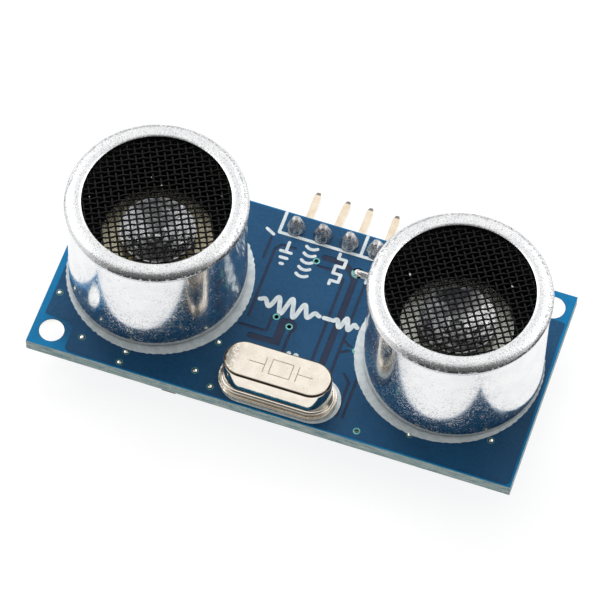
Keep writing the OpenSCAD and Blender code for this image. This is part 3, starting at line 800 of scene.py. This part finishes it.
def front_print():
    """Screen print: rings under the cans, header box, crystal outline and plain symbols."""
    levels = (TOP, PRINT_TOP)
    for index, (side, place) in enumerate(CANS.items()):
        add, remove = ragged_ring(copysign(13.6, place.x), place.y - 0.27, 7.2, 8.47, 11 + index)
        build_flat("printed_ring_" + side, add, remove, levels, screen_print)
    frame_lines = [
        [(-4.95, FAR_EDGE - 0.16), (-4.95, 7.9), (6.4, 7.9)],
        [(2.78, FAR_EDGE - 0.16), (2.78, 7.9)],
        [(-6.1, 7.92), (-5.35, 7.52)],
    ]
    burst = [sine(-4.3, 1.3, 0.68, 0.95, 4.5, 90), [(1.75, 0.68), (2.35, 0.68)]]
    echo = [sine(2.6, 4.85, 0.68, 0.62, 2.5, 40)]
    symbols = strokes(frame_lines, PRINT_WIDTH) + strokes(burst + echo, WAVE_WIDTH)
    ground = [[(-3.7, 7.15), (-3.7, 6.1)], [(-4.2, 6.1), (-3.2, 6.1)], [(-4.02, 5.45), (-3.38, 5.45)],
              [(-3.8, 4.8), (-3.6, 4.8)]]
    waves = [arc(-1.6, y + 0.62, 0.78, 228, 312, 8) for y in (7.25, 6.5, 5.75, 5.0, 4.25)]
    pulse = [(1.0, 7.5), (1.0, 7.0), (1.75, 7.0), (1.75, 6.2), (1.0, 6.2), (1.0, 5.4), (1.75, 5.4),
             (1.75, 4.6), (1.0, 4.6), (1.0, 4.2)]
    plus = [[(4.1, 6.35), (4.1, 5.35)], [(3.6, 5.85), (4.6, 5.85)]]
    symbols += strokes(ground + waves + [pulse] + plus, PRINT_WIDTH)
    symbols += [circle(-0.05, -3.8, 0.2), circle(0.62, -3.82, 0.24)]
    pads = [circle(x, PIN_Y, 0.95) for x in PAD_X]
    build_flat("printed_symbols", symbols, pads + hole_outlines(0.04), levels, screen_print)
    outline = stadium([(1.6, TOP), (2.47, TOP), (2.47, PRINT_TOP), (1.6, PRINT_TOP)], CRYSTAL_STRAIGHT)
    place = moved(outline, CRYSTAL.x + 0.24, CRYSTAL.y - 0.02)
    build("printed_crystal_outline", place, screen_print, sharp=20)


def via_solder():
    """Solder that closes or half closes the small vias, and the coated ring of the wire's hole."""
    full = [(0, -0.3), (VIA_BORE_R, -0.3), (VIA_BORE_R, -0.08), (VIA_BORE_R * 0.95, 0),
            (VIA_BORE_R * 0.86, 0.04), (VIA_BORE_R * 0.7, 0.058), (0, 0.066)]
    low = [(0, -0.9), (VIA_BORE_R, -0.9), (VIA_BORE_R, -0.25), (VIA_BORE_R * 0.5, -0.4), (0, -0.45)]
    plugs = [moved(lathe(lifted(full, TOP), 24), x, y) for x, y in FILLED_VIAS]
    plugs += [moved(lathe(lifted(low, TOP), 24), x, y) for x, y in HALF_VIAS]
    build("via_plugs", joined(plugs), via_tin)
    blob = lifted([(0, 0), (0.44, 0), (0.42, 0.06), (0.34, 0.16), (0.27, 0.28), (0, 0.3)], TOP)
    build("wire_hole_solder", moved(lathe(blob, 32), *WIRE_HOLE), lumpy_tin)
    ring = [(WIRE_HOLE_R, TOP), (0.56, TOP), (0.56, POUR_TOP), (WIRE_HOLE_R, POUR_TOP)]
    build("wire_hole_ring", moved(lathe(ring, 32), *WIRE_HOLE), teal_copper)


# ---- Back of the board ----

CHIPS = ["microcontroller", "amplifier", "driver"]
PACKAGES = CHIPS + ["transistor"]
SMALL_PARTS = ["resistor", "capacitor"]
PARTS = ([(name + "_leads", name + "_body") for name in PACKAGES]
         + [(name + "_end_caps", name + "_bodies") for name in SMALL_PARTS])
# Each solder node's cones: height, and radius at the top
BACK_CONES = {"transducer_solder": (0.75, 0.56), "crystal_solder": (0.7, 0.27),
              "ground_wire_solder": (0.35, 0.24)}
BACK_TRACE_WIDTH = 0.26
BACK_GAP = 0.56
BACK_TRACES = [
    [(-1.11, 7.5), (-1.11, 6.2), (-1.27, 6.0), (-1.27, 3.5)],
    [(1.43, 7.5), (1.43, 6.0), (1.27, 5.8), (1.27, 3.5)],
    [(3.97, 7.5), (3.97, 6.6), (3.81, 6.4), (3.81, 3.5)],
    [(-3.81, -3.1), (-3.81, -3.5), (-4.5, -4.2), (-6.3, -4.2), (-6.9, -3.6), (-6.9, -2.0)],
    [(-8.9, -2.0), (-9.3, -2.0), (-9.7, -2.2)],
    [(-8.9, -0.6), (-10.6, -0.6), (-11.36, -1.36), (-11.36, -1.9)],
    [(-8.9, 0.8), (-11.2, 0.8), (-12.63, -0.63), (-12.63, -1.9)],
    [(-8.9, 3.6), (-9.4, 3.6), (-9.7, 3.4)],
    [(-8.9, 5.0), (-9.4, 5.0), (-10.09, 4.3), (-10.09, 4.0)],
    [(-10.6, 5.6), (-11.36, 4.9), (-11.36, 4.0)],
    [(-13.9, 5.6), (-13.9, 3.9)],
    [(-13.9, -4.4), (-13.9, -2.7)],
    [(-17.7, 5.8), (-16.6, 5.8), (-15.17, 4.4), (-15.17, 4.0)],
    [(-17.7, -5.6), (-16.9, -5.6), (-16.44, -5.1), (-16.44, -2.7)],
    [(-19.5, 5.8), (-20.3, 5.8), (-20.9, 5.2), (-20.9, -3.6), (-21.4, -4.6)],
    [(13.9, 5.6), (13.26, 4.9), (13.26, 3.9)],
    [(13.9, -4.4), (14.53, -3.8), (14.53, -2.7)],
    [(7.9, -0.6), (8.6, -0.6), (9.45, -1.4), (9.45, -1.7)],
    [(7.9, 0.8), (9.6, 0.8), (10.72, -0.3), (10.72, -1.7)],
    [(7.9, 3.6), (9.1, 3.6)],
    [(7.9, 2.2), (10.0, 2.2), (10.72, 2.9), (10.72, 3.1)],
    [(5.9, -0.6), (5.2, -0.6), (3.81, -2.0)],
    [(5.9, 0.8), (4.9, 0.8), (2.54, -1.56), (2.54, -2.0)],
    [(5.9, 3.6), (4.9, 3.6), (4.3, 3.3)],
    [(5.9, 2.2), (4.2, 2.2), (2.54, 3.0)],
    [(-2.29, -7.3), (-1.5, -6.5), (-1.3, -6.1), (-1.3, -5.2), (-1.27, -3.1)],
    [(2.59, -7.3), (1.8, -6.5), (1.6, -6.1), (1.6, -5.2), (1.27, -4.4), (1.27, -3.1)],
    [(-8.0, -7.4), (-6.1, -7.5)],
    [(-5.7, -6.0), (-5.7, -5.4), (-4.9, -4.9), (-2.54, -4.3), (-2.54, -3.1)],
    [(-10.5, -8.35), (-12.0, -8.35), (-13.7, -8.4)],
    [(-8.0, -9.3), (-5.5, -9.3)],
    [(9.8, -5.6), (9.8, -4.4), (9.45, -4.0), (9.45, -2.7)],
    [(9.8, -7.6), (9.8, -8.6), (9.2, -9.3), (8.1, -9.3)],
    [(0.0, 3.5), (0.0, 4.7), (-0.8, 5.5), (-0.8, 6.1)],
    [(-2.54, 3.5), (-2.54, 4.6), (-2.95, 5.0), (-6.9, 5.0)],
    [(16.4, -6.0), (15.6, -6.0), (15.0, -5.4), (14.4, -4.6)],
    [(16.5, 6.4), (15.8, 6.4), (15.3, 6.1), (14.6, 5.8)],
    [(18.5, -6.0), (19.2, -6.2), (19.5, -6.3)],
]


def flipped(shape):
    """A shape drawn from 0 upwards, hung below the back face."""
    points, faces = shape
    return [(x, y, BACK - z) for x, y, z in points], faces


def footprints():
    """For each lead or end cap on the back: its box, and the box of its pad."""
    found = []
    for leads, bodies in PARTS:
        body_boxes = islands(bodies)
        for low, high in islands(leads):
            middle = halfway(low, high)
            body = min(body_boxes, key=lambda corners: dist(halfway(*corners), middle))
            along = 0 if high[0] <= body[0][0] + 0.01 or low[0] >= body[1][0] - 0.01 else 1
            across = 1 - along
            pad = [[0, 0], [0, 0]]
            pad[0][across] = low[across] - 0.08
            pad[1][across] = high[across] + 0.08
            inward = 0.66 if high[along] - low[along] > 0.4 else 0.4
            if middle[along] < halfway(*body)[along]:
                pad[0][along] = low[along] - 0.32
                pad[1][along] = low[along] + inward
            else:
                pad[0][along] = high[along] - inward
                pad[1][along] = high[along] + 0.32
            found.append((low, high, pad))
    return found


def fillet(low, high, pad):
    """Solder on a pad, drawn up in a hollow curve to the lead or end cap on it."""
    def kept(value, axis):
        return min(max(value, pad[0][axis]), pad[1][axis])

    inset = 0.02
    tall = min(0.34, -low[2] * 0.75)
    foot = [kept(low[0], 0) - inset, kept(low[1], 1) - inset,
            kept(high[0], 0) + inset, kept(high[1], 1) + inset]
    base = [pad[0][0] + inset, pad[0][1] + inset, pad[1][0] - inset, pad[1][1] - inset]
    points = []
    levels = [(0.0, 0.0), (0.0, 0.05), (0.42, 0.085), (0.72, 0.15), (0.9, 0.24), (1.0, tall)]
    for share, height in levels:
        ring = [a + (b - a) * share for a, b in zip(base, foot)]
        points += [(x, y, min(height, tall)) for x, y in rounded(*ring, 0.08, 3)]
    return flipped((points, capped_tube(len(levels), len(points) // len(levels))))


def back_cone(reach, top, height, seed):
    """Solder round a lead that comes through the board, on the back."""
    draw = random.Random(seed)
    flutes = [(count, draw.uniform(0.006, 0.02), draw.uniform(0, 6.3)) for count in (3, 5, 8)]
    profile = [(0.0, 0.001), (reach, 0.001)]
    for i in range(11):
        t = i / 10
        r = reach - (reach - top) * sin(t * pi / 2) ** 0.8
        profile.append((r, 0.03 + (height - 0.03) * t ** 1.6))
    profile += [(top * 0.6, height - 0.02), (0.0, height - 0.02)]

    def fluted(r, z, turn):
        return r + z * r * ripple(flutes, turn)

    return flipped(lathe(profile, 48, fluted))


def outline_line(x0, y0, x1, y1):
    return rectangle(x0, y0, x1, y1) + [(x0, y0)]


def back_side():
    """Copper, pads, solder and print on the back of the board."""
    feet = footprints()
    pads = [rounded(*pad[0], *pad[1], 0.08, 3) for _, _, pad in feet]
    clear = [rounded(pad[0][0] - 0.15, pad[0][1] - 0.15, pad[1][0] + 0.15, pad[1][1] + 0.15, 0.15, 3)
             for _, _, pad in feet]
    joints = []
    rings = []
    for node, (height, top) in BACK_CONES.items():
        for index, (low, high) in enumerate(islands(node)):
            x, y, _ = halfway(low, high)
            reach = (high[0] - low[0]) / 2
            joints.append(moved(back_cone(reach, top, height, 50 + index + len(joints)), x, y))
            rings.append(circle(x, y, reach + 0.16, 40))
            clear.append(circle(x, y, reach + 0.34, 40))
    build("back_solder_joints", joined(joints), solder, list(BACK_CONES), sharp=60)
    fillets = joined([fillet(*foot) for foot in feet])
    build("back_solder_fillets", fillets, wire_tin, sharp=60)

    holes = mount_holes(0.02)
    vias = via_rings(0.01)
    edge = 0.3
    board = rectangle(BOARD_LOW.x + edge, BOARD_LOW.y + edge, BOARD_HIGH.x - edge, BOARD_HIGH.y - edge)
    header = rectangle(-5.0, 7.5, 5.4, BOARD_HIGH.y)
    removed = strokes(BACK_TRACES, BACK_GAP) + clear + holes + mount_holes(0.85) + vias + [header]
    build_flat("back_pour", [board], removed, (BACK - COPPER, BACK), mask_pour)
    leads = [circle(*halfway(*corners)[:2], 0.3) for corners in islands("crystal_leads")]
    traces = strokes(BACK_TRACES, BACK_TRACE_WIDTH)
    build_flat("back_traces", traces, vias + leads + pads, (BACK - TRACE_T, BACK), mask_trace)
    build_flat("back_lands", pads + rings, [], (BACK - 0.04, BACK), wire_tin)
    back_print(clear + vias + holes)


def back_print(removed):
    """Outlines of the parts, a dot at each chip's first lead, and a plus and minus for each transducer."""
    lines = [[(-5.15, 10.0), (-5.15, 7.35), (5.45, 7.35), (5.45, 10.0)]]
    dots = []
    for chip in CHIPS:
        low, high = box(chip + "_body")
        lines.append(outline_line(low.x - 0.3, low.y + 0.45, high.x + 0.3, high.y - 0.45))
        dots.append(circle(low.x - 0.35, low.y - 0.75, 0.26))
    for name in SMALL_PARTS:
        for low, high in islands(name + "_bodies"):
            if high[0] - low[0] > 0.9:
                lines += [[(low[0] - 0.5, y), (high[0] + 0.5, y)] for y in (low[1] - 0.28, high[1] + 0.28)]
            else:
                lines += [[(x, low[1] - 0.5), (x, high[1] + 0.5)] for x in (low[0] - 0.28, high[0] + 0.28)]
    low, high = box("transistor_body")
    lines.append(outline_line(low.x - 0.15, low.y - 0.15, high.x + 0.15, high.y + 0.15))
    for side in CANS:
        for corners in islands(side + "_terminals"):
            x, y, _ = halfway(*corners)
            lines.append([(x - 2.3, y), (x - 1.7, y)])
            if y > 0:
                lines.append([(x - 2.0, y - 0.3), (x - 2.0, y + 0.3)])
    levels = (BACK - COPPER - 0.015, BACK)
    build_flat("back_print", strokes(lines, 0.16) + dots, removed, levels, screen_print)


# ---- Transducers ----

def can_shape():
    """The drawn can: a foot that flares a little, a straight wall and a domed, rolled rim."""
    bore = CAN_R - LIP_T
    opening = 6.75
    foot = arc(7.98, 0.06, 0.06, 270, 360, 4)
    walls = [(8.03, 0.3), (8.01, 1.0), (7.99, 2.2), (7.975, 4.0), (7.965, 6.5), (7.96, 9.4), (7.955, 10.5),
             (7.955, 10.66)]
    # Radius, and depth below the front
    rim = [(7.96, 0.86), (7.98, 0.825), (8.04, 0.8), (8.1, 0.74), (RIM_R, 0.62), (8.09, 0.48), (8.02, 0.34),
           (7.9, 0.21), (7.75, 0.115), (7.57, 0.05), (7.35, 0.012), (7.1, 0.0), (6.85, 0.008), (6.69, 0.03),
           (MOUTH_R, 0.09), (MOUTH_R + 0.2, LIP_T)]
    inner = [(bore, CAN_H - LIP_T), (bore, 0.3), (opening, 0.3), (opening, 0)]
    return lathe(foot + walls + [(r, CAN_H - depth) for r, depth in rim] + inner, 180)


def crimped(length, away, pitch, phase):
    """A woven wire's centre line. Under the can's lip its crimps are pressed flatter."""
    count = max(8, int(length / pitch * 4))
    path = []
    for i in range(count + 1):
        s = length * (i / count - 0.5)
        under_lip = min(1.0, max(0.0, (hypot(s, away) - MOUTH_R + 0.4) / 0.4))
        crimp = WIRE_R * (1.2 - 0.45 * under_lip)
        path.append((s, away, crimp * sin(pi * s / pitch + phase)))
    return path


def grille_shape(angle):
    """Two sets of crimped wires, woven over and under each other."""
    wires = []
    reach = GRILLE_R - 0.12
    sets = [(WARP_PITCH, WEFT_PITCH, 0, 0.0), (WEFT_PITCH, WARP_PITCH, 90, pi)]
    for pitch, crossing, turn, flip in sets:
        count = int(reach / pitch)
        for i in range(-count, count + 1):
            away = i * pitch
            length = 2 * sqrt(reach * reach - away * away)
            phase = pi * i + flip + pi / 2
            path = crimped(length, away, crossing, phase)
            wires.append(turned(rod(path, MESH_WIRE_R, 6), turn + angle))
    return joined(wires)


def cone_shape():
    """The spun cone, open towards the front, with a blunt hub."""
    low = CONE_LOW.z
    top = CONE_HIGH.z
    rim = (CONE_HIGH.x - CONE_LOW.x) / 2
    hub = 0.45
    thick = 0.07
    rise = [(hub + (rim - hub) * t, low + (top - thick - low) * t ** 1.12) for t in (0.25, 0.5, 0.75, 0.92)]
    back = [(0, low), (hub, low)] + rise + [(rim, top - thick * 1.3), (rim, top)]
    front = [(rim - thick, top)] + [(r - 0.02, z + thick) for r, z in reversed(rise)]
    head = top - 0.85
    middle = [(hub + 0.22, low + thick + 0.1), (hub + 0.05, low + 0.4), (hub * 0.9, head - 0.2),
              (hub * 0.78, head - 0.08), (hub * 0.5, head - 0.02), (0, head)]
    return lathe(back + front + middle, 96)


def transducers():
    looks = {"receiver": (plate_shaded_olive, mesh_black, spun_left),
             "transmitter": (plate_lit_pale, mesh_dusty, spun_right)}
    for side, place in CANS.items():
        plate, mesh, spun = looks[side]
        can = moved(can_shape(), place.x, place.y, CAN_Z)
        build(side + "_can_body", can, can_metal, [side + "_can"], sharp=50)
        woven = moved(grille_shape(WARP_ANGLE[side]), place.x, place.y, GRILLE_MID)
        build(side + "_woven_grille", woven, mesh, [side + "_grille"], sharp=80)
        cone = moved(cone_shape(), place.x, place.y)
        build(side + "_spun_cone", cone, spun, [side + "_cone"], sharp=50)
        dress(black_plastic, side + "_liner", side + "_base")
        dress(silicone, side + "_damping_ring")
        dress(ceramic, side + "_piezo_disc")
        dress(plate, side + "_bender_plate")
        dress(tinned, side + "_terminals")
        dress(wire_red, side + "_lead_wires")


# ---- Crystal ----

def crystal_shape():
    """The drawn can, which flares out to its flange and has a round shoulder."""
    flange = (CRYSTAL_HIGH.y - CRYSTAL_LOW.y) / 2 - 0.1
    top = CRYSTAL_HIGH.z - CRYSTAL_LOW.z
    side = 1.85
    foot = [(side - 0.2, 0), (flange - 0.04, 0), (flange, 0.04), (flange, 0.13), (flange - 0.05, 0.18)]
    flare = arc(side + 0.26, 0.48, 0.26, 270, 180, 8)
    shoulder = arc(side - 0.3, top - 0.3, 0.3, 0, 90, 9)
    inner = [(0.7, top), (0, top), (0, top - 0.2), (side - 0.2, top - 0.2)]
    profile = foot + flare + [(side, 1.2), (side, 1.9)] + shoulder + inner
    return stadium(lifted(profile, CRYSTAL_LOW.z), CRYSTAL_STRAIGHT, 28)


def crystal_base_shape():
    """The base, whose rounded edge is pressed down beside the can's flange."""
    low, high = box("crystal_base")
    edge = (high.y - low.y) / 2
    top = CRYSTAL_LOW.z - low.z
    profile = [(0, 0), (edge - 0.1, 0), (edge - 0.03, 0.04), (edge, 0.11), (edge - 0.02, 0.19),
               (edge - 0.1, 0.22), (edge - 0.14, 0.24), (edge - 0.09, 0.27), (edge - 0.08, top),
               (1.5, top), (1.5, top + 0.3), (0, top + 0.3)]
    return stadium(lifted(profile, low.z), CRYSTAL_STRAIGHT, 28)


def crystal():
    for name, shape, node in (("crystal_cover", crystal_shape(), "crystal_can"),
                              ("crystal_header", crystal_base_shape(), "crystal_base")):
        build(name, moved(shape, CRYSTAL.x, CRYSTAL.y), nickel, [node], sharp=40)
    top = CRYSTAL_HIGH.z
    lines = [[(-2.9, 0), (-1.5, 0)], [(-1.5, -0.75), (-1.5, 0.75)], [(1.5, -0.75), (1.5, 0.75)],
             [(1.5, 0), (2.9, 0)], outline_line(-0.95, -0.75, 0.95, 0.75)]
    mark = moved(region(strokes(lines, 0.085), [], top - 0.02, top + 0.004), CRYSTAL.x + 0.3, CRYSTAL.y)
    build("crystal_mark", mark, etched, sharp=20)
    dress(seal_glass, "crystal_seals")
    dress(tinned, "crystal_leads", "crystal_clips")
    dress(quartz, "crystal_quartz_blank")


# ---- Header ----

def solder_cone(seed):
    """Solder drawn up a square pin: a steep cone with flutes between the pin's corners."""
    draw = random.Random(seed)
    flutes = [(count, draw.uniform(0.01, 0.032), draw.uniform(0, 6.3)) for count in (3, 4, 5, 7, 9)]
    height = 1.58
    profile = [(0, 0.001), (0.9, 0.001), (0.9, 0.05), (0.87, 0.2), (0.8, 0.42), (0.71, 0.66), (0.6, 0.92),
               (0.5, 1.16), (0.43, 1.34), (0.37, 1.46), (0.27, 1.54), (0.13, height), (0, height)]

    def fluted(r, z, turn):
        rise = (z - TOP) / height
        depth = rise * (1.15 - rise) * 2.6 * r
        return r + depth * ripple(flutes, turn)

    return lathe(lifted(profile, TOP), 72, fluted)


def header():
    cones = [moved(solder_cone(31 + i), x, PIN_Y) for i, x in enumerate(PAD_X)]
    build("header_solder_cones", joined(cones), solder, ["header_solder"], sharp=60)
    dress(gilt, *PINS)
    dress(black_plastic, "header_body")


# ---- Stage, light and camera: angles in degrees, lengths in millimetres ----

CAMERA_AIM = (-0.885, 1.761, 1.3)
CAMERA_AZIMUTH = 17.126
CAMERA_ELEVATION = 59.016
CAMERA_DISTANCE = 345.486
CAMERA_ROLL = 1.89
CAMERA_LENS = 231.93
ROOM_ELEVATION = 34
ROOM_OUTER = 74
ROOM_INNER = 30
ROOM_LEVEL = 0.13
TENT_LEVEL = 0.97
KEY_AZIMUTH = 208
KEY_ELEVATION = 50
KEY_POWER = 1.05
SIDE_LIGHTS = {"left_softbox": 258, "right_softbox": 136}
SIDE_ELEVATION = 42
SIDE_POWER = 0.52
LIGHT_DISTANCE = 500
FLOOR_HALF = 3000
FLOOR_GLOW = 0.86


def toward(azimuth, elevation):
    """Unit vector: azimuth from -y towards +x, elevation up from level, in degrees."""
    a = radians(azimuth)
    e = radians(elevation)
    return Vector((sin(a) * cos(e), -cos(a) * cos(e), sin(e)))


def floor():
    """Plain pale floor that the pins and the chips rest on."""
    level = min(box(name)[0].z for name in NODES)
    mesh = bpy.data.meshes.new("floor")
    outline = rectangle(-FLOOR_HALF, -FLOOR_HALF, FLOOR_HALF, FLOOR_HALF)
    corners = [Vector((x, y, level)) * MM for x, y in outline]
    mesh.from_pydata(corners, [], [(0, 1, 2, 3)])
    f = Finish("floor_paper", Roughness=0.9, Emission_Strength=FLOOR_GLOW)
    f.bsdf.inputs["Emission Color"].default_value = (1, 1, 1, 1)
    colour = f.mix(f.noise(0.02, 3), (0.2, 0.2, 0.2), (0.23, 0.23, 0.23))
    mesh.materials.append(f.drive(Base_Color=colour))
    placed("floor", mesh)


def area_light(name, direction, size, power, mirrored):
    """A softbox that faces the board. A mirrored one shows only in shiny surfaces, another one only in
    dull surfaces."""
    lamp = bpy.data.lights.new(name, "AREA")
    lamp.shape = "RECTANGLE"
    lamp.size = size[0] * MM
    lamp.size_y = size[1] * MM
    lamp.energy = power
    item = placed(name, lamp)
    item.location = direction * LIGHT_DISTANCE * MM
    item.rotation_euler = direction.to_track_quat("Z", "Y").to_euler()
    item.visible_glossy = mirrored
    item.visible_diffuse = not mirrored


def studio():
    """A white tent that is dark on the camera's side, where the camera and the room are."""
    world = bpy.data.worlds.new("studio")
    bpy.context.scene.world = world
    world.use_nodes = True
    nodes = Nodes(world.node_tree)
    where = nodes.add("TexCoord").outputs["Generated"]
    facing = nodes.vector("DOT_PRODUCT", where, toward(CAMERA_AZIMUTH, ROOM_ELEVATION), "Value")
    outer, inner = (cos(radians(angle)) for angle in (ROOM_OUTER, ROOM_INNER))
    light = nodes.step(facing, outer, inner, TENT_LEVEL, ROOM_LEVEL)
    nodes.tree.links.new(light, nodes.tree.nodes["Background"].inputs["Color"])
    area_light("back_softbox", toward(KEY_AZIMUTH, KEY_ELEVATION), (300, 240), KEY_POWER, False)
    for name, azimuth in SIDE_LIGHTS.items():
        area_light(name, toward(azimuth, SIDE_ELEVATION), (440, 320), SIDE_POWER, True)


def camera():
    lens = bpy.data.cameras.new("camera")
    lens.sensor_width = 36
    lens.lens = CAMERA_LENS
    lens.clip_start = 0.01
    lens.clip_end = 20
    item = placed("camera", lens)
    ray = toward(CAMERA_AZIMUTH, CAMERA_ELEVATION)
    place = Matrix.Translation((Vector(CAMERA_AIM) + ray * CAMERA_DISTANCE) * MM)
    roll = Matrix.Rotation(radians(CAMERA_ROLL), 4, "Z")
    item.matrix_world = place @ ray.to_track_quat("Z", "Y").to_matrix().to_4x4() @ roll
    bpy.context.scene.camera = item


front_copper()
front_print()
via_solder()
back_side()
transducers()
crystal()
header()
dress(laminate, "pcb")
dress(teal_copper, "via_platings")
dress(lumpy_tin, "ground_wire")
dress(epoxy, *[name + "_body" for name in PACKAGES])
dress(tinned, *[leads for leads, _ in PARTS])
dress(film, "resistor_bodies")
dress(dielectric, "capacitor_bodies")
floor()
studio()
camera()
bpy.context.scene.view_settings.view_transform = "Standard"
